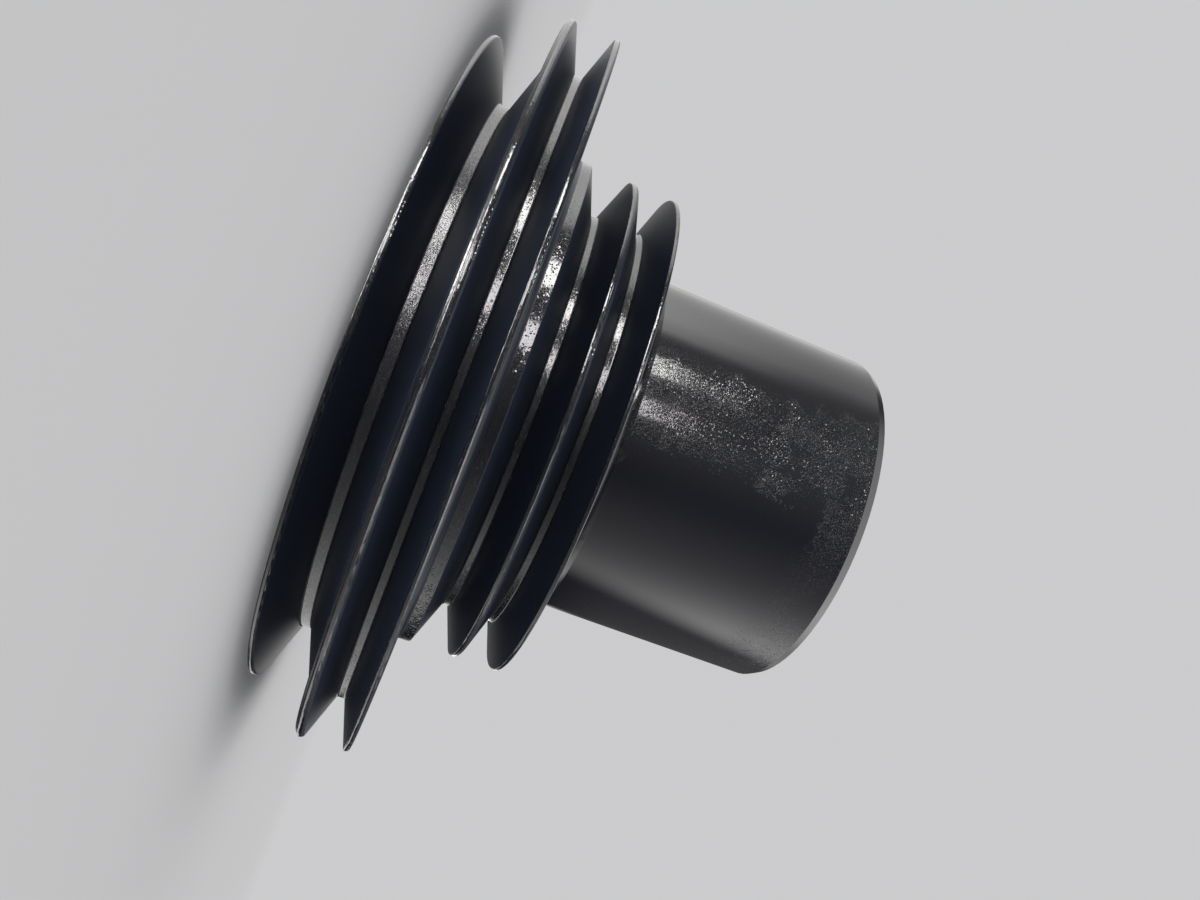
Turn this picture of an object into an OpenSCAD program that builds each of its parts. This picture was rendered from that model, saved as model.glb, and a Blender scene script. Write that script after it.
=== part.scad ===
// Crankshaft pulley for four V belts: one iron casting, turned on its rims, grooves and end face.
// Z is the turning axis. The pulley stands on its front face at Z = 0, with its long tube upwards.
// Two wide grooves sit at the front and two narrower, smaller ones behind a shoulder.
// The end wall of the tube bolts to the crankshaft hub, and the bolts are reached down the cup.
// Lengths are in millimetres and angles in degrees. Outlines are drawn as [radius, height].

/* [Rims] */
// Outer diameter of the front rim
front_rim_d = 170; // [150:0.5:204]
// Outer diameter of the second and third rims
main_rim_d = 190; // [158:0.5:228]
// Outer diameter of the shoulder and of the two rear rims
rear_rim_d = 133; // [125:0.5:160]
// Width of the flat land on the front rim
front_land_w = 1.2; // [0.8:0.1:4]
// Width of the flat land on the second rim, behind its bevel
second_land_w = 1.3; // [0.8:0.05:4]
// Width of the flat land on the third rim
third_land_w = 1.3; // [0.8:0.05:4]
// Width of the shoulder between the third rim and the third groove
shoulder_w = 4.7; // [3:0.1:12]
// Width of the flat land on the fourth rim
fourth_land_w = 1.5; // [0.8:0.05:4]
// Width of the flat land on the fifth rim
fifth_land_w = 1.0; // [0.8:0.05:4]
// Bevel on the front edge of the second rim, along the axis
bevel_w = 0.7; // [0.3:0.05:2]
// Bevel on the front edge of the second rim, along the radius
bevel_h = 1.2; // [0.3:0.05:3]
// Lean of the wall between the first groove's mouth and the second rim
step_lean = 4.2; // [0:0.1:10]

/* [Belt grooves] */
// Included angle of the two front grooves and of the last groove
groove_angle = 39; // [32:0.5:42]
// Included angle of the third groove, behind the shoulder
third_groove_angle = 42.5; // [32:0.5:44]
// Depth of the first groove below the front rim
first_groove_h = 14; // [8:0.1:17]
// Depth of the second groove below the main rims
second_groove_h = 11; // [8:0.1:14]
// Depth of the third groove below the shoulder
third_groove_h = 11.5; // [8:0.1:14]
// Depth of the fourth groove below the rear rims
fourth_groove_h = 11.3; // [8:0.1:14]
// Width of the first groove's floor
first_floor_w = 2.75; // [1.5:0.05:6]
// Width of the floors of the second, third and fourth grooves
floor_w = 1.85; // [1.5:0.05:4]

/* [Tube] */
// Outer diameter of the tube
tube_d = 93.4; // [77.8:0.1:112.2]
// Length of the tube from the last rim to its end face
tube_l = 66.5; // [45:0.5:100]
// Bevel round the tube's end, along the axis
end_bevel_w = 2.2; // [0.5:0.1:4]
// Bevel round the tube's end, along the radius
end_bevel_h = 1.0; // [0.5:0.1:3]

/* [Cup and mounting] */
// Iron left under the floor of the first groove
front_wall = 9; // [6:0.5:12]
// Iron left under the floors of the rear grooves
rear_wall = 8.5; // [6:0.5:11]
// Wall of the tube at its closed end
tube_wall = 7; // [5:0.5:9]
// Thickness of the end wall that the bolts clamp
end_wall = 12; // [8:0.5:20]
// Diameter of the pilot bore that centres the pulley on the crankshaft hub
pilot_d = 32; // [24:0.1:38.5]
// Number of mounting bolts
bolt_count = 4; // [3:1:6]
// Diameter of each bolt hole
bolt_hole_d = 10.5; // [8:0.1:12.6]
// Bevel on both mouths of the pilot bore
pilot_bevel = 1.0; // [0.3:0.1:1.5]
// Bevel on the outer mouth of each bolt hole
hole_bevel = 0.6; // [0.2:0.1:1]

/* [Casting and turning] */
// Draft of the cored cup, so that the core leaves by the front
draft = 1; // [0.5:0.25:2]
// Fillet between the third rim's rear face and the shoulder
shoulder_fillet = 2.0; // [0.5:0.1:4]
// Fillet between the fifth rim and the tube
tube_fillet = 5.5; // [2:0.1:6]
// Radius in the corners of every groove floor
groove_root_r = 0.5; // [0.2:0.05:0.6]
// Radius on the front edges of the rims
rim_front_r = 0.35; // [0.1:0.05:0.4]
// Radius on the rear edges of the first and third rims, which leaves each only a thin crest
rim_back_r = 0.7; // [0.2:0.05:0.8]
// Radius on the rear edges of the second and fourth rims
round_back_r = 1.1; // [0.2:0.05:1.2]
// Radius on the rear edges of the shoulder and of the fifth rim
rear_edge_r = 0.3; // [0.1:0.05:0.4]
// Radius where the cup changes from one bore to the next
core_r = 4; // [1:0.5:5]
// Fillet between the tube's bore and the bolting face inside
seat_fillet = 3; // [1:0.5:4]
// Radius on the cup's front edge
mouth_r = 1.5; // [0.5:0.1:3]

/* [Hidden] */
$fn = 144;

// Radii of the outside, from the front
front_rim_r = front_rim_d / 2;
main_rim_r = main_rim_d / 2;
rear_rim_r = rear_rim_d / 2;
tube_r = tube_d / 2;
first_floor_r = front_rim_r - first_groove_h;
second_floor_r = main_rim_r - second_groove_h;
third_floor_r = rear_rim_r - third_groove_h;
fourth_floor_r = rear_rim_r - fourth_groove_h;
bevel_r = main_rim_r - bevel_h;
// A front rim larger than the second rim would leave no wall above the groove's mouth
mouth_step_r = min(front_rim_r, bevel_r - rim_front_r);

// Radii on a narrow land's edges stay below these shares of its width, so that its crest remains
front_share = 0.3;
back_share = 0.65;
round_back_share = 0.85;

// How far a groove's flank runs along the axis
function flank_w(top_r, floor_r, angle) = (top_r - floor_r) * tan(angle / 2);

// Heights of the edges of each rim and floor, counted up from the front face
first_floor_z = front_land_w + flank_w(front_rim_r, first_floor_r, groove_angle);
first_floor_end_z = first_floor_z + first_floor_w;
mouth_step_z = first_floor_end_z + flank_w(mouth_step_r, first_floor_r, groove_angle);
second_rim_z = mouth_step_z + (bevel_r - mouth_step_r) * tan(step_lean);
second_rim_end_z = second_rim_z + bevel_w + second_land_w;
second_floor_z = second_rim_end_z + flank_w(main_rim_r, second_floor_r, groove_angle);
second_floor_end_z = second_floor_z + floor_w;
third_rim_z = second_floor_end_z + flank_w(main_rim_r, second_floor_r, groove_angle);
third_rim_end_z = third_rim_z + third_land_w;
shoulder_end_z = third_rim_end_z + shoulder_w;
third_floor_z = shoulder_end_z + flank_w(rear_rim_r, third_floor_r, third_groove_angle);
third_floor_end_z = third_floor_z + floor_w;
fourth_rim_z = third_floor_end_z + flank_w(rear_rim_r, third_floor_r, third_groove_angle);
fourth_rim_end_z = fourth_rim_z + fourth_land_w;
fourth_floor_z = fourth_rim_end_z + flank_w(rear_rim_r, fourth_floor_r, groove_angle);
fourth_floor_end_z = fourth_floor_z + floor_w;
fifth_rim_z = fourth_floor_end_z + flank_w(rear_rim_r, fourth_floor_r, groove_angle);
fifth_rim_end_z = fifth_rim_z + fifth_land_w;
pulley_h = fifth_rim_end_z + tube_l;

// The cored cup, from its closed end to its mouth
seat_z = pulley_h - end_wall;
tube_bore_r = tube_r - tube_wall;
tube_bore_front_r = tube_bore_r + (seat_z - fifth_rim_end_z) * tan(draft);
rear_bore_r = max(third_floor_r - rear_wall, tube_bore_front_r);
rear_bore_front_r = rear_bore_r + (fourth_floor_z - shoulder_end_z) * tan(draft);
front_bore_r = max(first_floor_r - front_wall, rear_bore_front_r);
front_bore_mouth_r = front_bore_r + second_floor_z * tan(draft);

// The bolts stand midway between the pilot bore and the edge of the flat seat inside
pilot_r = pilot_d / 2;
bolt_hole_r = bolt_hole_d / 2;
seat_r = tube_bore_r - seat_fillet;
bolt_circle_r = (pilot_r + seat_r) / 2;

// Corners of the turned section as [radius, height, corner radius], once round the iron
section = [
    [front_bore_mouth_r, 0, mouth_r],
    [front_rim_r, 0, min(rim_front_r, front_share * front_land_w)],
    [front_rim_r, front_land_w, min(rim_back_r, back_share * front_land_w)],
    [first_floor_r, first_floor_z, groove_root_r],
    [first_floor_r, first_floor_end_z, groove_root_r],
    [mouth_step_r, mouth_step_z, 0],
    [bevel_r, second_rim_z, min(rim_front_r, front_share * bevel_h)],
    [main_rim_r, second_rim_z + bevel_w, min(rim_front_r, front_share * second_land_w)],
    [main_rim_r, second_rim_end_z, min(round_back_r, round_back_share * second_land_w)],
    [second_floor_r, second_floor_z, groove_root_r],
    [second_floor_r, second_floor_end_z, groove_root_r],
    [main_rim_r, third_rim_z, min(rim_front_r, front_share * third_land_w)],
    [main_rim_r, third_rim_end_z, min(rim_back_r, back_share * third_land_w)],
    [rear_rim_r, third_rim_end_z, shoulder_fillet],
    [rear_rim_r, shoulder_end_z, rear_edge_r],
    [third_floor_r, third_floor_z, groove_root_r],
    [third_floor_r, third_floor_end_z, groove_root_r],
    [rear_rim_r, fourth_rim_z, min(rim_front_r, front_share * fourth_land_w)],
    [rear_rim_r, fourth_rim_end_z, min(round_back_r, round_back_share * fourth_land_w)],
    [fourth_floor_r, fourth_floor_z, groove_root_r],
    [fourth_floor_r, fourth_floor_end_z, groove_root_r],
    [rear_rim_r, fifth_rim_z, min(rim_front_r, front_share * fifth_land_w)],
    [rear_rim_r, fifth_rim_end_z, min(rear_edge_r, front_share * fifth_land_w)],
    [tube_r, fifth_rim_end_z, tube_fillet],
    [tube_r, pulley_h - end_bevel_w, 0],
    [tube_r - end_bevel_h, pulley_h, 0],
    [pilot_r + pilot_bevel, pulley_h, 0],
    [pilot_r, pulley_h - pilot_bevel, 0],
    [pilot_r, seat_z + pilot_bevel, 0],
    [pilot_r + pilot_bevel, seat_z, 0],
    [tube_bore_r, seat_z, seat_fillet],
    [tube_bore_front_r, fifth_rim_end_z, core_r],
    [rear_bore_r, fourth_floor_z, core_r],
    [rear_bore_front_r, shoulder_end_z, core_r],
    [front_bore_r, second_floor_z, core_r],
];

// Unit vector along v
function unit(v) = v / norm(v);

// Which way the outline turns at corner b: positive to the left
function turn(a, b, c) = (b.x - a.x) * (c.y - b.y) - (b.y - a.y) * (c.x - b.x);

// A true arc touches both edges. It is this much oversize, so that it crosses them cleanly
arc_bite = 0.002;
// Share of the arc's radius by which a corner piece reaches past the edges
reach = 0.5;

// The piece between corner b and an arc of radius r that touches the edges to a and c.
// Subtracted, it rounds an outer corner. Added, it fills an inner one.
module corner_piece(a, b, c, r) {
    to_a = unit([a.x - b.x, a.y - b.y]);
    to_c = unit([c.x - b.x, c.y - b.y]);
    half = acos(to_a * to_c) / 2;
    corner = [b.x, b.y];
    centre = corner + unit(to_a + to_c) * r / sin(half);
    touch_a = corner + to_a * r / tan(half);
    touch_c = corner + to_c * r / tan(half);
    past_a = touch_a + (touch_a - centre) * reach;
    past_b = corner + (corner - centre) * reach;
    past_c = touch_c + (touch_c - centre) * reach;
    difference() {
        // Both kinds run the same way round, as the section does, so that they join it as one face
        polygon(turn(a, b, c) > 0 ? [centre, past_a, past_b, past_c] : [centre, past_c, past_b, past_a]);
        translate(centre) circle(r = r + arc_bite);
    }
}

// Corner pieces of one kind: outer corners turn left on this outline, inner ones right
module corner_pieces(points, outer) {
    n = len(points);
    for (i = [0 : n - 1]) {
        a = points[(i + n - 1) % n];
        b = points[i];
        c = points[(i + 1) % n];
        if (b.z > 0 && (turn(a, b, c) > 0) == outer) corner_piece(a, b, c, b.z);
    }
}

// A closed outline with a true arc at each corner that has a radius
module rounded_outline(points) {
    union() {
        difference() {
            polygon([for (p = points) [p.x, p.y]]);
            corner_pieces(points, true);
        }
        corner_pieces(points, false);
    }
}

// The turned and cored body, before its bolt holes are drilled
module turned_casting() {
    rotate_extrude() rounded_outline(section);
}

// One bolt hole through the end wall, with a bevelled outer mouth
module bolt_hole() {
    clear = 1;
    translate([0, 0, seat_z - clear]) cylinder(r = bolt_hole_r, h = end_wall + 2 * clear);
    translate([0, 0, pulley_h - hole_bevel])
        cylinder(r1 = bolt_hole_r, r2 = bolt_hole_r + hole_bevel + clear, h = hole_bevel + clear);
}

module pulley() {
    color([0.008, 0.010, 0.015])
        difference() {
            turned_casting();
            for (i = [0 : bolt_count - 1])
                rotate(i * 360 / bolt_count) translate([bolt_circle_r, 0, 0]) bolt_hole();
        }
}

pulley();
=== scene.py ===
"""Finish, light and camera for a cast crankshaft pulley.

The pulley is one casting with four V-belt grooves and a long hollow tube. It stands on its front face, with
its turning axis along +Z. Its shape comes from the frame. This script gives it its gloss black paint over
turned iron and rough cast skin, and sets the floor, the studio and the camera. Sizes are in metres and
angles in degrees.
"""

import functools
import logging
import math
import operator
from collections.abc import Iterable
from dataclasses import dataclass
from enum import Enum
from typing import Any

import bpy
from mathutils import Matrix, Vector


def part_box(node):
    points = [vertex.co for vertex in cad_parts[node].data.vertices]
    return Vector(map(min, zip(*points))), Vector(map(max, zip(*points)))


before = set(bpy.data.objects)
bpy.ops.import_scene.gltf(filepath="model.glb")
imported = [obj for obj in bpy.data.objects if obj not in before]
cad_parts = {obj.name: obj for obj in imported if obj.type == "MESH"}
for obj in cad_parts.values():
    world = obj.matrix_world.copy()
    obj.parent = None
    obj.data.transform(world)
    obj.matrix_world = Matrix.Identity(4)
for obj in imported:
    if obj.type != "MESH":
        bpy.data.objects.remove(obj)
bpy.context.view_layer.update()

LOG = logging.getLogger("pulley")
MM = 0.001
HALF_TURN = 180.0
MIDDLE_OF_NOISE = 0.5
RGB = tuple[float, float, float]
WHITE: RGB = (1.0, 1.0, 1.0)


class Wire:
    """A number that runs through a node tree. Python's operators on it add Math nodes."""

    def __init__(self, nodes: "Nodes", socket: bpy.types.NodeSocket) -> None:
        """Keep the tree and the socket that the number comes out of."""
        self.nodes = nodes
        self.socket = socket

    def math(self, operation: str, *others: "Wire | float") -> "Wire":
        """Feed this number and others, in order, into one Math node."""
        return self.nodes.math(operation, self, *others)

    def __add__(self, other: "Wire | float") -> "Wire":
        """Sum."""
        return self.math("ADD", other)

    def __sub__(self, other: "Wire | float") -> "Wire":
        """Difference."""
        return self.math("SUBTRACT", other)

    def __rsub__(self, other: float) -> "Wire":
        """Difference with this number taken away from a plain one."""
        return self.nodes.math("SUBTRACT", other, self)

    def __mul__(self, other: "Wire | float") -> "Wire":
        """Product."""
        return self.math("MULTIPLY", other)

    def __truediv__(self, other: "Wire | float") -> "Wire":
        """Quotient."""
        return self.math("DIVIDE", other)

    def __pow__(self, other: "Wire | float") -> "Wire":
        """Power."""
        return self.math("POWER", other)

    __radd__ = __add__
    __rmul__ = __mul__

    def at_most(self, limit: float) -> "Wire":
        """Hold this number at or below a limit."""
        return self.math("MINIMUM", limit)

    def at_least(self, limit: float) -> "Wire":
        """Hold this number at or above a limit."""
        return self.math("MAXIMUM", limit)

    def step(self, start: float, end: float) -> "Wire":
        """Rise smoothly from 0 at start to 1 at end, or fall where end is below start."""
        low, high, first, last = (start, end, 0.0, 1.0) if start < end else (end, start, 1.0, 0.0)
        return self.nodes.add(
            "ShaderNodeMapRange",
            {"interpolation_type": "SMOOTHSTEP"},
            {"Value": self, "From Min": low, "From Max": high, "To Min": first, "To Max": last},
        )

    def band(self, low: float, high: float, soft: float) -> "Wire":
        """Be 1 between low and high, and fall smoothly to 0 over a width of soft on either side."""
        return self.step(low - soft, low) * self.step(high + soft, high)

    def hump(self) -> "Wire":
        """Take e to the power of minus half this number's square."""
        return self.nodes.math("EXPONENT", self * self * -0.5)


class Nodes:
    """A node tree under construction."""

    def __init__(self, tree: bpy.types.NodeTree) -> None:
        """Empty the tree."""
        self.tree = tree
        tree.nodes.clear()

    def add(
        self,
        kind: str,
        settings: dict[str, Any] | None = None,
        inputs: dict[str | int, Any] | None = None,
        output: str | int = 0,
    ) -> Wire:
        """Add one node.

        Args:
            kind: the node's type name.
            settings: its own settings, made before its sockets are filled.
            inputs: values or wires by the name or number of the socket.
            output: the name or number of the socket to go on from.

        Returns:
            The wire from that output.
        """
        node = self.tree.nodes.new(kind)
        for name, value in (settings or {}).items():
            setattr(node, name, value)
        for name, value in (inputs or {}).items():
            self.fill(node.inputs[name], value)
        return Wire(self, node.outputs[output] if node.outputs else None)

    def fill(self, socket: bpy.types.NodeSocket, value: Any) -> None:
        """Fill one input of a node.

        Args:
            socket: the input.
            value: the wire to link to it, or the value to set on it.
        """
        if isinstance(value, Wire):
            self.tree.links.new(value.socket, socket)
        else:
            socket.default_value = value

    def math(self, operation: str, *values: Wire | float) -> Wire:
        """Add a Math node with these inputs, in order."""
        return self.add("ShaderNodeMath", {"operation": operation}, dict(enumerate(values)))

    def vector(self, operation: str, *values: Wire | RGB, output: str = "Vector") -> Wire:
        """Add a Vector Math node with these inputs, in order, and go on from the named output."""
        return self.add("ShaderNodeVectorMath", {"operation": operation}, dict(enumerate(values)), output)

    def azimuth(self, x: Wire, y: Wire) -> Wire:
        """Find how far round the axis a point lies, in degrees from +X."""
        return self.math("ARCTAN2", y, x) * math.degrees(1.0)

    def split(self, vector: Wire) -> tuple[Wire, Wire, Wire]:
        """Take a vector apart.

        Args:
            vector: the vector.

        Returns:
            Its x, y and z.
        """
        first = self.add("ShaderNodeSeparateXYZ", inputs={"Vector": vector})
        sockets = first.socket.node.outputs
        return Wire(self, sockets[0]), Wire(self, sockets[1]), Wire(self, sockets[2])

    def noise(self, place: Wire, size: float, detail: float = 2.0, roughness: float = 0.5) -> Wire:
        """Read fractal noise, whose coarsest lumps are as wide as size."""
        inputs = {"Vector": place, "Scale": 1 / size, "Detail": detail, "Roughness": roughness}
        return self.add("ShaderNodeTexNoise", inputs=inputs)

    def blend(self, share: Wire | float, first: Wire | RGB, second: Wire | RGB) -> Wire:
        """Mix two colours.

        Args:
            share: how much of the second colour shows, from 0 to 1.
            first: the colour at 0.
            second: the colour at 1.

        Returns:
            The mixed colour.
        """
        inputs = {
            "Factor": share,
            "A": first if isinstance(first, Wire) else (*first, 1.0),
            "B": second if isinstance(second, Wire) else (*second, 1.0),
        }
        node = self.tree.nodes.new("ShaderNodeMix")
        node.data_type = "RGBA"
        for name, value in inputs.items():
            self.fill(next(s for s in node.inputs if s.name == name and s.enabled), value)
        return Wire(self, next(s for s in node.outputs if s.enabled))

    def mix(self, share: Wire, first: Wire, second: Wire) -> Wire:
        """Mix two shaders, where share is how much of the second shows."""
        return self.add("ShaderNodeMixShader", inputs={0: share, 1: first, 2: second})


def total(wires: Iterable[Wire]) -> Wire:
    """Add wires together, from the first to the last."""
    return functools.reduce(operator.add, wires)


@dataclass(frozen=True)
class Fade:
    """A smooth rise from 0 at start to 1 at end, or a fall where end is below start."""

    start: float
    end: float

    def over(self, number: Wire) -> Wire:
        """Take the fade over a number."""
        return number.step(self.start, self.end)


@dataclass(frozen=True)
class Band:
    """A stretch that is 1 from low to high, and falls smoothly to 0 over a width of soft on either side."""

    low: float
    high: float
    soft: float

    def over(self, number: Wire) -> Wire:
        """Take the stretch over a number."""
        return number.band(self.low, self.high, self.soft)


@dataclass(frozen=True)
class Bell:
    """A bell curve: e to the power of minus half the square of the distance from centre over spread."""

    centre: float
    spread: float

    def over(self, number: Wire) -> Wire:
        """Take the curve over a number."""
        return ((number - self.centre) * (1 / self.spread)).hump()


@dataclass(frozen=True)
class Place:
    """A point on a surface: its coordinates, its height, and how far it is from the axis and round it."""

    vector: Wire
    z: Wire
    radius: Wire
    turn: Wire

    @classmethod
    def of(cls, nodes: Nodes) -> "Place":
        """Read the point that a material is at.

        Args:
            nodes: the material's tree.

        Returns:
            The point.
        """
        vector = nodes.add("ShaderNodeTexCoord", output="Object")
        x, y, z = nodes.split(vector)
        return cls(vector, z, (x * x + y * y) ** 0.5, nodes.azimuth(x, y))


class Face(Enum):
    """Kinds of turned ring that show the grain of the iron through the paint, each in its own way."""

    WIDE_FLOOR = "the widest floor"
    FLOOR = "a groove's floor"
    SHOULDER = "the shoulder"
    LAND = "a rim's land"


@dataclass(frozen=True)
class Ring:
    """One glossy ring of the sheaves.

    It has its radius and where it begins and ends. A land also has the height of its crest, and of its row
    of drops where it has one.
    """

    face: Face
    radius: float
    low: float
    high: float
    crest: float = 0.0
    drops: float = 0.0


def rings_of_the_sheaves() -> tuple[Ring, ...]:
    """List the turned rings from the front to the tube, by Ring's own fields in millimetres.

    Returns:
        The rings, in metres.
    """
    sizes = (
        (Face.LAND, 85.0, 0.0, 0.95, 0.55, 1.1),
        (Face.WIDE_FLOOR, 71.0, 6.16, 8.91),
        (Face.LAND, 95.0, 14.51, 16.15, 15.58, 16.28),
        (Face.FLOOR, 84.0, 20.41, 22.26),
        (Face.LAND, 95.0, 26.15, 27.00, 26.56, 27.08),
        (Face.SHOULDER, 66.5, 29.65, 31.95),
        (Face.FLOOR, 55.0, 36.62, 38.47),
        (Face.LAND, 66.5, 42.95, 43.90, 43.40, 44.15),
        (Face.FLOOR, 55.2, 48.45, 50.30),
        (Face.LAND, 66.5, 54.30, 55.15, 54.80),
    )
    return tuple(Ring(face, *(MM * size for size in rest)) for face, *rest in sizes)


@dataclass(frozen=True)
class Coat:
    """One kind of paint surface: its colour, its refraction and its roughness."""

    colour: RGB
    ior: float
    roughness: float

    def shader(self, nodes: Nodes, height: Wire, normal: Wire | None = None) -> Wire:
        """Lay the coat over a surface with bumps.

        Args:
            nodes: the tree.
            height: the height of the bumps.
            normal: the way the smooth surface faces, if it isn't the mesh's own.

        Returns:
            The coat's shader.
        """
        inputs = {"Strength": 1.0, "Distance": 1.0, "Height": height}
        if normal is not None:
            inputs["Normal"] = normal
        bump = nodes.add("ShaderNodeBump", inputs=inputs)
        paint = {
            "Base Color": (*self.colour, 1.0),
            "Roughness": self.roughness,
            "IOR": self.ior,
            "Normal": bump,
        }
        return nodes.add("ShaderNodeBsdfPrincipled", inputs=paint)


@dataclass(frozen=True)
class Grain:
    """Small flat facets, each leaning its own way.

    Size is how wide one is, and half the tilt is how steep the steepest can be. Tail is how rare the steep
    ones are, and least is the share of their lean that even the flattest keep. Across is how much they lean
    sideways, as a share of how much they lean along the axis.
    """

    size: float
    tilt: float
    tail: float
    across: float = 1.0
    least: float = 0.0

    def height(self, nodes: Nodes, place: Place) -> Wire:
        """Break the surface into facets, each a plane through the middle of its own Voronoi cell.

        Args:
            nodes: the tree.
            place: the point.

        Returns:
            The height of the facets.
        """
        inputs = {"Vector": place.vector, "Scale": 1 / self.size}
        cell = nodes.add("ShaderNodeTexVoronoi", inputs=inputs, output="Position")
        colour = Wire(nodes, cell.socket.node.outputs["Color"])
        sideways = self.tilt * self.across
        lean = nodes.vector("SUBTRACT", colour, (MIDDLE_OF_NOISE,) * 3)
        lean = nodes.vector("MULTIPLY", lean, (sideways, sideways, self.tilt))
        away = nodes.vector("SUBTRACT", place.vector, cell)
        chance = nodes.add("ShaderNodeTexWhiteNoise", {"noise_dimensions": "3D"}, {"Vector": cell})
        steep = chance**self.tail * (1 - self.least) + self.least
        return nodes.vector("DOT_PRODUCT", away, lean, output="Value") * steep


@dataclass(frozen=True)
class Marks:
    """What the lathe and later knocks left: faint marks round the axis, one dent and one scratch.

    The dent is in the front rim's edge, and the scratch runs across the second rim's land.
    """

    size: float = 0.45 * MM
    depth: float = 0.004 * MM
    dent_turn: Bell = Bell(-112.4, 0.16)
    dent_z: Bell = Bell(0.35 * MM, 0.25 * MM)
    dent_depth: float = 0.06 * MM
    scratch_turn: Bell = Bell(-71.1, 0.06)
    scratch_z: Band = Band(15.0 * MM, 15.9 * MM, 0.1 * MM)
    scratch_depth: float = 0.02 * MM
    near_the_rims: Fade = Fade(80.0 * MM, 82.0 * MM)

    def height(self, nodes: Nodes, place: Place) -> Wire:
        """Leave all of them in the surface.

        Args:
            nodes: the tree.
            place: the point.

        Returns:
            Their height.
        """
        along = nodes.add("ShaderNodeCombineXYZ", inputs={"X": place.radius})
        turned = (nodes.noise(along, self.size) - MIDDLE_OF_NOISE) * self.depth
        dent = self.dent_turn.over(place.turn) * self.dent_z.over(place.z) * -self.dent_depth
        scratch = self.scratch_turn.over(place.turn) * self.scratch_z.over(place.z) * -self.scratch_depth
        return turned + (dent + scratch) * self.near_the_rims.over(place.radius)


@dataclass(frozen=True)
class Crests:
    """The rounded crests of the lands, which mirror a lamp as a thin line that wanders a little.

    Radius is a crest's own, and half is how far it reaches to either side.
    """

    radius: float = 1.5 * MM
    half: float = 0.35 * MM
    wander: float = 0.9 * MM
    wander_length: float = 9.0 * MM

    def height(self, nodes: Nodes, place: Place, rings: tuple[Ring, ...]) -> Wire:
        """Take off half the square of the distance from each crest, over its radius.

        Args:
            nodes: the tree.
            place: the point.
            rings: the turned rings.

        Returns:
            The height that is taken off.
        """
        drift = (nodes.noise(place.vector, self.wander_length) - MIDDLE_OF_NOISE) * self.wander
        heights = []
        for ring in (r for r in rings if r.face is Face.LAND):
            away = (place.z - ring.crest + drift).at_least(-self.half).at_most(self.half)
            heights.append(away * away * (-0.5 / self.radius))
        return total(heights)


@dataclass(frozen=True)
class Drops:
    """Small drops of gloss in a row round the rear edges of the lands.

    Gap is the mean angle from one to the next, and edge tells how far from its middle a drop ends, as a
    share of the gap. Half is half a drop's length along the axis. Rim is where they begin, from the rim's
    radius, and stretch is the part of the way round that has them. Shift is how far one row is turned
    against the next. Lean is how far they turn back to mirror the lamps.
    """

    gap: float = 0.62
    edge: Fade = Fade(0.27, 0.17)
    half: float = 0.12 * MM
    soft: float = 0.05 * MM
    rim: Fade = Fade(-0.6 * MM, -0.4 * MM)
    stretch: Band = Band(-109.0, -103.6, 0.4)
    shift: float = 7.3
    lean: float = 0.45

    def share(self, nodes: Nodes, place: Place, rings: tuple[Ring, ...]) -> Wire:
        """Tell the drops from the paint round them.

        Args:
            nodes: the tree.
            place: the point.
            rings: the turned rings.

        Returns:
            1 on a drop and 0 elsewhere.
        """
        rows = []
        for number, ring in enumerate(r for r in rings if r.drops):
            inputs = {"W": place.turn + self.shift * number, "Scale": 1 / self.gap}
            away = nodes.add("ShaderNodeTexVoronoi", {"voronoi_dimensions": "1D"}, inputs, "Distance")
            along = place.z.band(ring.drops - self.half, ring.drops + self.half, self.soft)
            outside = place.radius.step(ring.radius + self.rim.start, ring.radius + self.rim.end)
            rows.append(self.edge.over(away) * along * outside)
        return total(rows) * self.stretch.over(place.turn)


@dataclass(frozen=True)
class BevelLine:
    """The thin line along the second rim's front bevel, and how far it leans to mirror the lamps."""

    rim: Fade = Fade(93.6 * MM, 93.8 * MM)
    along: Band = Band(14.75 * MM, 15.06 * MM, 0.04 * MM)
    lean: float = 0.60

    def share(self, place: Place) -> Wire:
        """Be 1 on the line and 0 elsewhere."""
        return self.rim.over(place.radius) * self.along.over(place.z)


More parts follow.
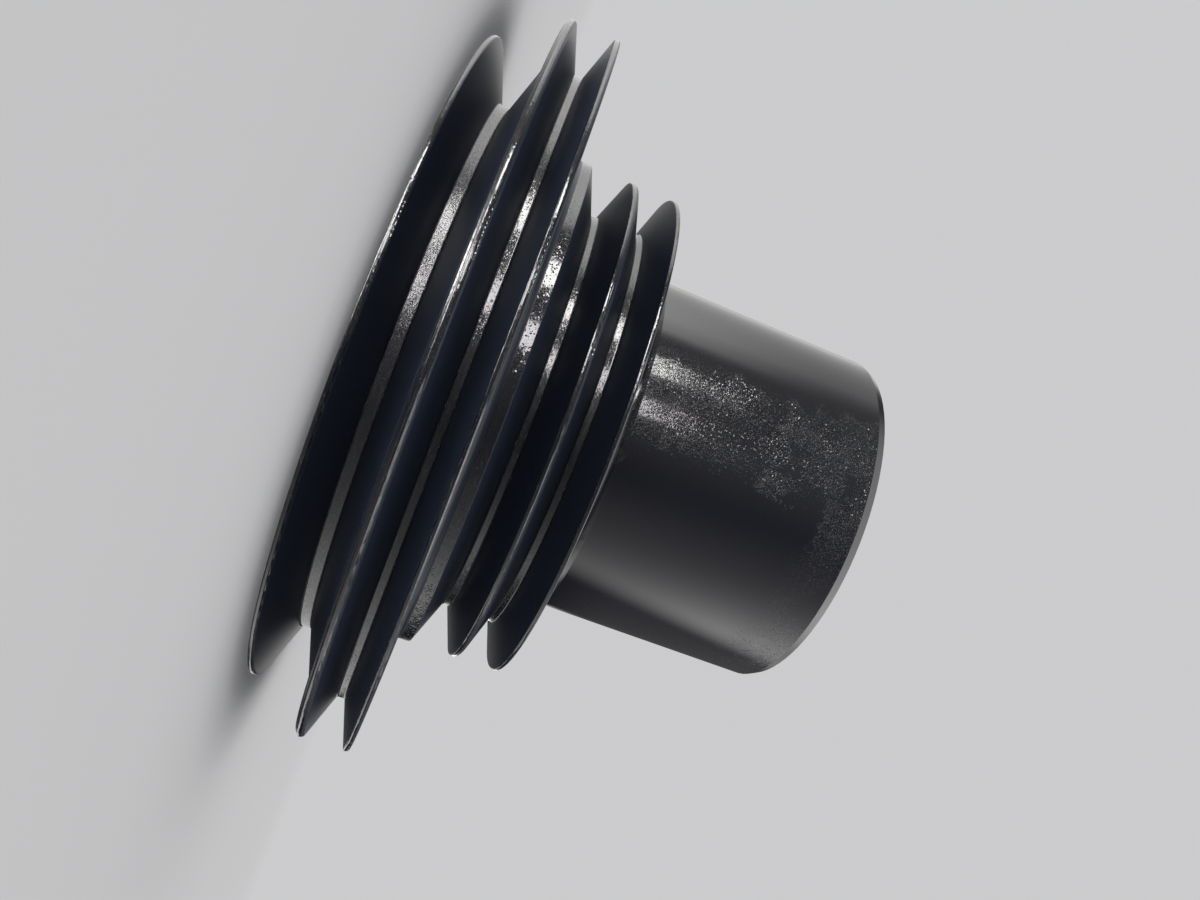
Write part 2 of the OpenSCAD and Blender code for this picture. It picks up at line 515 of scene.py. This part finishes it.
@dataclass(frozen=True)
class CastSkin:
    """The tube's cast skin: sparse specks on its lit side, and patches of pits towards its end.

    The specks lie between lit_from and lit_to, and thin out to far_share towards the tube's end. The pits
    lie where a noise is high. It gains end_gain towards the tube's end, and loses above_loss above the lit
    side. Past the lit side, last_share of the pits stays on the last of the tube.
    """

    specks: Grain = Grain(0.20 * MM, 0.72, 16.0, 0.12, 0.08)
    lit_from: Fade = Fade(-132.0, -120.0)
    lit_to: Fade = Fade(-90.0, -98.0)
    near_the_rims: Fade = Fade(104.0 * MM, 70.0 * MM)
    far_share: float = 0.45
    pits: Grain = Grain(0.24 * MM, 0.46, 2.2)
    patch_size: float = 11.0 * MM
    patch_detail: float = 3.0
    patch_roughness: float = 0.6
    patch_edge: Fade = Fade(0.56, 0.66)
    near_the_end: Fade = Fade(80.0 * MM, 116.0 * MM)
    end_gain: float = 0.19
    above: Fade = Fade(-118.0, -140.0)
    above_loss: float = 0.35
    lit_side: Fade = Fade(-80.0, -95.0)
    last_of_the_tube: Fade = Fade(100.0 * MM, 114.0 * MM)
    last_share: float = 0.6

    def height(self, nodes: Nodes, place: Place) -> Wire:
        """Make the specks and the pits.

        Args:
            nodes: the tree.
            place: the point.

        Returns:
            Their height.
        """
        turn, z = place.turn, place.z
        sparse = self.lit_from.over(turn) * self.lit_to.over(turn)
        sparse = sparse * (self.near_the_rims.over(z) * (1 - self.far_share) + self.far_share)
        patch = nodes.noise(place.vector, self.patch_size, self.patch_detail, self.patch_roughness)
        patch = patch + self.near_the_end.over(z) * self.end_gain
        patch = self.patch_edge.over(patch - self.above.over(turn) * self.above_loss)
        around = self.lit_side.over(turn) + self.last_of_the_tube.over(z) * self.last_share
        pits = self.pits.height(nodes, place) * (patch * around.at_most(1.0))
        return self.specks.height(nodes, place) * sparse + pits


@dataclass(frozen=True)
class BlackPaint:
    """Gloss black paint, thin enough to show the iron's grain, with satin on the grooves' flanks.

    A ring's gloss reaches a little inside and outside its radius. The gloss past the sheaves begins over a
    length of sheaves_soft.
    """

    gloss: Coat = Coat((0.0100, 0.0108, 0.0170), 1.65, 0.10)
    satin: Coat = Coat((0.0205, 0.0262, 0.0425), 1.35, 0.35)
    grains: tuple[tuple[Face, Grain], ...] = (
        (Face.WIDE_FLOOR, Grain(0.12 * MM, 0.27, 0.5)),
        (Face.FLOOR, Grain(0.20 * MM, 0.27, 2.0)),
        (Face.SHOULDER, Grain(0.30 * MM, 0.30, 3.5)),
        (Face.LAND, Grain(0.40 * MM, 0.12, 1.5)),
    )
    marks: Marks = Marks()
    crests: Crests = Crests()
    drops: Drops = Drops()
    bevel_line: BevelLine = BevelLine()
    skin: CastSkin = CastSkin()
    ring_inside: float = 0.9 * MM
    ring_outside: float = 0.3 * MM
    ring_soft: float = 0.15 * MM
    sheaves_soft: float = 1.0 * MM

    def build(self, name: str, pulley: "Pulley") -> bpy.types.Material:
        """Make the material.

        Args:
            name: its name.
            pulley: the casting, which knows where its rings and its cast skin lie.

        Returns:
            The material.
        """
        material = bpy.data.materials.new(name)
        material.use_nodes = True
        nodes = Nodes(material.node_tree)
        place = Place.of(nodes)
        marks = self.marks.height(nodes, place)
        grain, rings = self.ring_grain(nodes, place, pulley.rings)
        relief = marks + grain + self.crests.height(nodes, place, pulley.rings)
        drops = self.drops.share(nodes, place, pulley.rings)
        gloss = self.gloss.shader(nodes, relief, self.leaning(nodes, place, drops))
        satin = self.satin.shader(nodes, marks)
        skin = self.gloss.shader(nodes, self.skin.height(nodes, place))
        past_the_sheaves = place.z.step(pulley.sheaves_end - self.sheaves_soft, pulley.sheaves_end)
        turned = nodes.mix((rings + drops + past_the_sheaves).at_most(1.0), satin, gloss)
        surface = nodes.mix(pulley.cast_share(place), turned, skin)
        nodes.add("ShaderNodeOutputMaterial", inputs={"Surface": surface})
        return material

    def ring_share(self, place: Place, ring: Ring) -> Wire:
        """Tell one turned ring from the faces beside it.

        Args:
            place: the point.
            ring: the ring.

        Returns:
            1 on the ring and 0 elsewhere.
        """
        inner = ring.radius - self.ring_inside
        outer = ring.radius + self.ring_outside
        near = place.radius.band(inner, outer, self.ring_soft)
        return near * place.z.band(ring.low, ring.high, self.ring_soft)

    def ring_grain(self, nodes: Nodes, place: Place, rings: tuple[Ring, ...]) -> tuple[Wire, Wire]:
        """Give each kind of glossy ring its own grain.

        Args:
            nodes: the tree.
            place: the point.
            rings: the turned rings.

        Returns:
            The height of the grain, and 1 on the rings.
        """
        heights = []
        shares = []
        for face, grain in self.grains:
            share = total(self.ring_share(place, ring) for ring in rings if ring.face is face)
            heights.append(grain.height(nodes, place) * share)
            shares.append(share)
        return total(heights), total(shares)

    def leaning(self, nodes: Nodes, place: Place, drops: Wire) -> Wire:
        """Lean the surface along +Z on the bevel line and along -Z on the drops, so that both mirror a lamp.

        Args:
            nodes: the tree.
            place: the point.
            drops: 1 on a drop and 0 elsewhere.

        Returns:
            The way the surface faces.
        """
        along = self.bevel_line.share(place) * self.bevel_line.lean - drops * self.drops.lean
        lean = nodes.add("ShaderNodeCombineXYZ", inputs={"Z": along})
        normal = nodes.add("ShaderNodeTexCoord", output="Normal")
        return nodes.vector("NORMALIZE", nodes.vector("ADD", normal, lean))


@dataclass(frozen=True)
class Pulley:
    """The one casting: where its surfaces change their finish, along its axis and out from it."""

    height: float
    rings: tuple[Ring, ...] = rings_of_the_sheaves()
    sheaves_end: float = 57.6 * MM
    bevel: float = 2.2 * MM
    front_face: float = 1.2 * MM
    front_bore_end: float = 17.4 * MM
    front_bore_edge: float = 66.5 * MM
    bore_step: float = 4.0 * MM
    rear_bore_edge: float = 51.0 * MM
    pilot_edge: float = 17.2 * MM
    soft: float = 0.4 * MM

    def cast_share(self, place: Place) -> Wire:
        """Tell the rough cast skin from the turned faces.

        Args:
            place: the point.

        Returns:
            1 on the tube's outside, in the cup and in the bores, and 0 on the turned faces.
        """
        radius, z, soft = place.radius, place.z, self.soft
        cast_end = self.height - self.bevel
        rear_bore_low = self.front_bore_end + self.bore_step
        tube = z.band(self.sheaves_end + soft, cast_end - soft / 2, soft / 2)
        front = radius.step(self.front_bore_edge, self.front_bore_edge - soft)
        front = front * z.band(self.front_face, rear_bore_low, soft)
        rear = radius.step(self.rear_bore_edge, self.rear_bore_edge - soft)
        rear = rear * z.band(rear_bore_low, self.sheaves_end, soft)
        outside_the_pilot = radius.step(self.pilot_edge, self.pilot_edge + soft)
        return (tube + front + rear).at_most(1.0) * outside_the_pilot

    def dress(self) -> None:
        """Paint the casting."""
        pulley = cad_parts["pulley"]
        pulley.data.materials.clear()
        pulley.data.materials.append(BlackPaint().build("black_paint", self))
        LOG.info("pulley: black paint over turned and cast iron")


@dataclass(frozen=True)
class Card:
    """One soft pale card that gloss mirrors.

    It has the azimuth of its middle, how far it spreads before and after that, and its strength. It may
    fade with the height of the direction, which is the z of the unit vector towards it. Its spread changes
    over at its middle.
    """

    middle: float
    before: float
    after: float
    strength: float
    height: Fade | Band | None = None
    change: Fade = Fade(-0.5, 0.5)

    def light(self, turn: Wire, z: Wire) -> Wire:
        """Shine towards the pulley.

        Args:
            turn: azimuth of the direction.
            z: height of the direction.

        Returns:
            A bell curve round the card's middle, with its own spread on either side, times its strength.
        """
        away = turn.nodes.math("WRAP", turn - self.middle, HALF_TURN, -HALF_TURN)
        spread = self.change.over(away) * (self.after - self.before) + self.before
        light = (away / spread).hump() * self.strength
        return light if self.height is None else light * self.height.over(z)


@dataclass(frozen=True)
class Spot:
    """One small soft patch of light, by the azimuth and the height of its direction."""

    azimuth: Bell
    height: Bell
    strength: float

    def light(self, turn: Wire, z: Wire) -> Wire:
        """Shine towards the pulley, as the product of two bell curves."""
        return self.azimuth.over(turn) * self.height.over(z) * self.strength


@dataclass(frozen=True)
class Shade:
    """The dark right side of the room, where no light from the lamps comes back, and a dark place below.

    The edge of the dark stands at one azimuth. Above top and below bottom it leans away to the right, by
    its slopes, which are degrees for each unit of height. Up high the dark is a little thinner.
    """

    edge: float = 2.0
    top: float = 0.17
    top_slope: float = 110.0
    bottom: float = 0.075
    bottom_slope: float = 650.0
    past_edge: Fade = Fade(-17.0, 8.0)
    far_edge: Fade = Fade(114.0, 96.0)
    thin: Fade = Fade(0.12, 0.24)
    thin_share: float = 0.10
    low_height: Fade = Fade(-0.085, -0.14)
    low_azimuth: Band = Band(40.0, 105.0, 20.0)
    low_depth: float = 0.95

    def dim(self, light: Wire, turn: Wire, z: Wire) -> Wire:
        """Take light away in the dark places.

        Args:
            light: the brightness of the room.
            turn: azimuth of the direction.
            z: height of the direction.

        Returns:
            The brightness that is left.
        """
        low = self.low_height.over(z) * self.low_azimuth.over(turn) * self.low_depth
        above = (z - self.top).at_least(0.0) * self.top_slope
        below = (self.bottom - z).at_least(0.0) * self.bottom_slope
        side = self.past_edge.over(turn - (above + below + self.edge)) * self.far_edge.over(turn)
        side = side * (1 - self.thin.over(z) * self.thin_share)
        return light * (1 - low) * (1 - side)


@dataclass(frozen=True)
class Lamp:
    """One upright soft box, by its azimuth from the pulley."""

    name: str
    azimuth: float
    width: float
    tall: float
    radiance: float
    colour: RGB


@dataclass(frozen=True)
class Studio:
    """The pale room: its floor, its tone and the lights.

    The wall's cards stand round the room between its foot and its head. Those beyond it aren't dimmed by
    the shade.
    """

    daylight: float = 0.60
    backdrop: RGB = (0.60, 0.60, 0.61)
    floor_colour: RGB = (0.66, 0.66, 0.67)
    floor_size: float = 12.0
    floor_fade: Fade = Fade(0.3, 1.2)
    overhead_size: float = 3.0
    overhead_height: float = 2.5
    overhead_radiance: float = 0.8
    lamp_distance: float = 2.5
    lamp_height: float = 0.06
    card_tint: RGB = (1.0, 0.988, 0.975)
    room: float = 0.30
    room_top: Fade = Fade(0.42, 0.60)
    room_top_loss: float = 0.7
    wall_foot: Fade = Fade(-0.60, -0.20)
    wall_head: Fade = Fade(0.64, 0.44)
    wall: tuple[Card, ...] = (
        Card(179.0, 22.0, 4.0, 2.3, Fade(0.38, 0.05)),
        Card(165.0, 40.0, 8.0, 0.50),
        Card(112.0, 30.0, 18.0, 0.36),
        Card(12.0, 24.0, 34.0, 1.3),
        Card(12.0, 24.0, 34.0, 0.455, Fade(0.20, 0.35)),
    )
    camera_side: Card = Card(-78.0, 16.0, 16.0, 0.65)
    shade: Shade = Shade()
    ceiling: float = 1.95
    ceiling_fade: Fade = Fade(0.66, 0.92)
    ceiling_slope: float = 0.6
    beyond: tuple[Card | Spot, ...] = (
        Card(-136.0, 9.0, 9.0, 22.0, Band(-0.36, -0.18, 0.06)),
        Card(-136.0, 9.0, 9.0, 22.0, Fade(-0.68, -0.76)),
        Card(-178.0, 20.0, 20.0, 3.2, Fade(-0.68, -0.76)),
        Card(38.0, 30.0, 30.0, 0.60, Fade(0.45, 0.60)),
        Spot(Bell(71.0, 4.0), Bell(0.10, 0.035), 3.0),
        Spot(Bell(-136.0, 2.2), Bell(0.72, 0.05), 24.0),
    )
    lamps: tuple[Lamp, ...] = (
        Lamp("lamp_left", -149.0, 0.54, 0.90, 18.0, (1.0, 0.985, 0.96)),
        Lamp("lamp_right", -120.5, 0.50, 0.90, 12.0, (1.0, 0.96, 0.99)),
    )

    def build(self) -> None:
        """Make the world, the floor and the lamps."""
        self.world()
        self.floor()
        self.overhead()
        for lamp in self.lamps:
            self.stand(lamp)

    def world(self) -> None:
        """Make a plain pale world, in which gloss sees soft cards of light."""
        world = bpy.data.worlds.new("studio")
        bpy.context.scene.world = world
        world.use_nodes = True
        nodes = Nodes(world.node_tree)
        tinted = {0: self.card_tint, "Scale": self.mirrored_light(nodes)}
        cards = nodes.add("ShaderNodeVectorMath", {"operation": "SCALE"}, tinted)
        rays = nodes.add("ShaderNodeLightPath", output="Is Camera Ray").socket.node.outputs
        colour = nodes.blend(Wire(nodes, rays["Is Camera Ray"]), (self.daylight,) * 3, self.backdrop)
        colour = nodes.blend(Wire(nodes, rays["Is Glossy Ray"]), colour, cards)
        background = nodes.add("ShaderNodeBackground", inputs={"Color": colour, "Strength": 1.0})
        nodes.add("ShaderNodeOutputWorld", inputs={"Surface": background})

    def mirrored_light(self, nodes: Nodes) -> Wire:
        """Work out how bright the room is in each direction.

        Args:
            nodes: the world's tree.

        Returns:
            The brightness that gloss mirrors.
        """
        way = nodes.add("ShaderNodeTexCoord", output="Generated")
        x, y, z = nodes.split(way)
        turn = nodes.azimuth(x, y)
        level = self.wall_foot.over(z) * self.wall_head.over(z)
        light = total(card.light(turn, z) for card in self.wall) * level
        light = light + self.room * (1 - self.room_top.over(z) * self.room_top_loss)
        light = self.shade.dim(light * (1 - self.camera_side.light(turn, z)), turn, z)
        light = light + self.ceiling_fade.over(z) * (x * self.ceiling_slope + 1.0) * self.ceiling
        return total([light, *(card.light(turn, z) for card in self.beyond)])

    def floor(self) -> None:
        """Lay a wide pale floor under the pulley, which fades into the world's tone far away."""
        half = self.floor_size / 2
        corners = [(-half, -half, 0.0), (half, -half, 0.0), (half, half, 0.0), (-half, half, 0.0)]
        mesh = bpy.data.meshes.new("floor")
        mesh.from_pydata(corners, [], [(0, 1, 2, 3)])
        floor = bpy.data.objects.new("floor", mesh)
        bpy.context.scene.collection.objects.link(floor)
        floor.visible_glossy = False
        floor.visible_shadow = False
        material = bpy.data.materials.new("pale_floor")
        material.use_nodes = True
        nodes = Nodes(material.node_tree)
        matt = nodes.add("ShaderNodeBsdfDiffuse", inputs={"Color": (*self.floor_colour, 1.0)})
        far = nodes.add("ShaderNodeEmission", inputs={"Color": (*self.backdrop, 1.0), "Strength": 1.0})
        surface = nodes.mix(self.floor_fade.over(Place.of(nodes).radius), matt, far)
        nodes.add("ShaderNodeOutputMaterial", inputs={"Surface": surface})
        floor.data.materials.append(material)

    def overhead(self) -> None:
        """Hang a wide soft light above the pulley, which gloss doesn't mirror."""
        side = self.overhead_size
        lamp = self.area_light("lamp_above", side, side, self.overhead_radiance, WHITE)
        lamp.location = (0.0, 0.0, self.overhead_height)
        lamp.visible_glossy = False

    def stand(self, lamp: Lamp) -> None:
        """Stand an upright soft box on one side of the pulley, facing it.

        Args:
            lamp: its sizes, place and light.
        """
        light = self.area_light(lamp.name, lamp.width, lamp.tall, lamp.radiance, lamp.colour)
        turn = math.radians(lamp.azimuth)
        out = Vector((math.cos(turn), math.sin(turn), 0.0))
        light.location = out * self.lamp_distance + Vector((0.0, 0.0, self.lamp_height))
        light.rotation_euler = (-out).to_track_quat("-Z", "Y").to_euler()
        light.visible_diffuse = False

    def area_light(
        self, name: str, width: float, tall: float, radiance: float, colour: RGB
    ) -> bpy.types.Object:
        """Make a flat light that the camera doesn't see.

        Args:
            name: its name.
            width: its width.
            tall: its height.
            radiance: how bright its face is.
            colour: its tint.

        Returns:
            The light, facing down at the origin.
        """
        data = bpy.data.lights.new(name, "AREA")
        data.shape = "RECTANGLE"
        data.size = width
        data.size_y = tall
        data.color = colour
        data.energy = radiance * math.pi * width * tall
        light = bpy.data.objects.new(name, data)
        bpy.context.scene.collection.objects.link(light)
        light.visible_camera = False
        return light


@dataclass(frozen=True)
class Viewpoint:
    """The camera, as the photograph sees the pulley."""

    place: tuple[float, float, float] = (0.0, -0.25005, 0.02290)
    right: tuple[float, float, float] = (-0.358909, -0.144645, 0.922096)
    up: tuple[float, float, float] = (-0.933339, 0.063857, -0.353269)
    lens: float = 27.55
    sensor: float = 36.0
    nearest: float = 0.01

    def build(self) -> None:
        """Make the camera and make it the scene's camera."""
        data = bpy.data.cameras.new("camera")
        data.lens = self.lens
        data.sensor_width = self.sensor
        data.clip_start = self.nearest
        camera = bpy.data.objects.new("camera", data)
        bpy.context.scene.collection.objects.link(camera)
        right = Vector(self.right).normalized()
        back = right.cross(Vector(self.up)).normalized()
        up = back.cross(right)
        turn = Matrix((right, up, back)).transposed().to_4x4()
        camera.matrix_world = Matrix.Translation(Vector(self.place)) @ turn
        bpy.context.scene.camera = camera


def main() -> None:
    """Build everything in order."""
    logging.basicConfig(level=logging.INFO, format="%(message)s")
    low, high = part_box("pulley")
    Pulley(height=high.z - low.z).dress()
    Studio().build()
    Viewpoint().build()
    bpy.context.scene.view_settings.view_transform = "Standard"
    bpy.context.scene.cycles.denoising_prefilter = "NONE"


if __name__ == "__main__":
    main()
